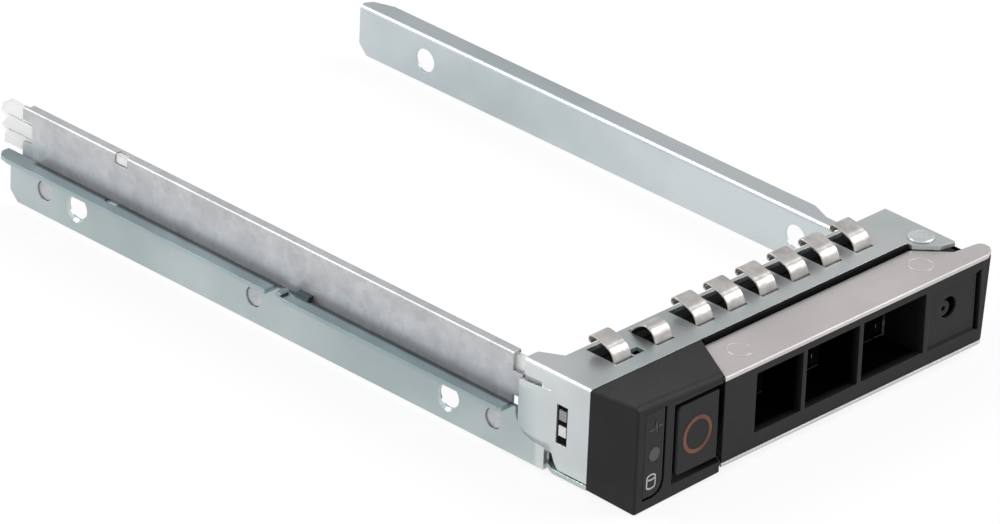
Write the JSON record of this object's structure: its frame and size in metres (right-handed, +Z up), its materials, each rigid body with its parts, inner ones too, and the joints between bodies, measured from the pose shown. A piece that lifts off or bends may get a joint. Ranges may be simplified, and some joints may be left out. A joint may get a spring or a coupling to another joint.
{
  "type": "hot swap drive caddy",
  "caption": "Sheet steel carrier for a 2.5-inch disk drive, with two side arms, a black bezel with a release button and a pivoting lever handle.",
  "frame": {"origin": "centre of the carrier's overall box, at the bottom of the bezel", "axes": "+X to the right seen from the front, +Y from the bezel towards the arms' ends, +Z up"},
  "size_m": [0.0788, 0.1306, 0.0181],
  "materials": {
    "steel_sheet": "zinc plated, pale blue-grey, soft sheen",
    "steel_bottom": "zinc plated, pale blue-grey",
    "stainless": "warm bright rolled stainless",
    "galvanised": "galvanised with a fine spangle",
    "clear_plastic": "clear moulded light guide",
    "black_plastic": "fine moulded texture, satin",
    "smoked_lens": "smoked satin strip",
    "grey_dot": "diffusing light guide end",
    "copper_ring": "copper-brown ring",
    "silver_plate": "satin silver, warm grey",
    "pin_steel": "zinc plated turned steel",
    "spring_steel": "spring strip",
    "slider_plastic": "acetal, dark grey"
  },
  "bodies": {
    "carrier": {"carrier_frame": "steel_sheet", "bottom_plate": "steel_bottom", "emi_spring_strip": "stainless", "light_pipe_cover": "galvanised", "light_pipe": "clear_plastic", "bezel": "black_plastic", "vent_wall": "black_plastic", "status_lens": "smoked_lens", "status_dot": "grey_dot", "pipe_holder": "black_plastic", "light_guides": "clear_plastic", "latch_spring": "spring_steel", "hinge_pin": "pin_steel", "hinge_washers": "pin_steel"},
    "lever": {"handle_plate": "silver_plate", "handle_insert": "black_plastic", "handle_rivets": "silver_plate", "latch_strike": "spring_steel"},
    "button": {"release_button": "black_plastic", "button_ring": "copper_ring"},
    "latch": {"latch_slider": "slider_plastic"}
  },
  "joints": [
    {"name": "lever_hinge", "type": "hinge", "parent": "carrier", "child": "lever", "pos_m": [0.0326, -0.0562, 0.008], "axis": [0, 0, 1], "range_deg": [0, 45]},
    {"name": "button_press", "type": "slide", "parent": "carrier", "child": "button", "axis": [0, 1, 0], "range_m": [0, 0.0015], "stiffness_N_per_m": 200},
    {"name": "latch_slide", "type": "slide", "parent": "carrier", "child": "latch", "axis": [-1, 0, 0], "range_m": [0, 0.0015], "stiffness_N_per_m": 200, "deforming": ["latch_spring"]}
  ],
  "couplings": [
    {"joint": "latch_slide", "follows": "button_press", "ratio": 1}
  ]
}
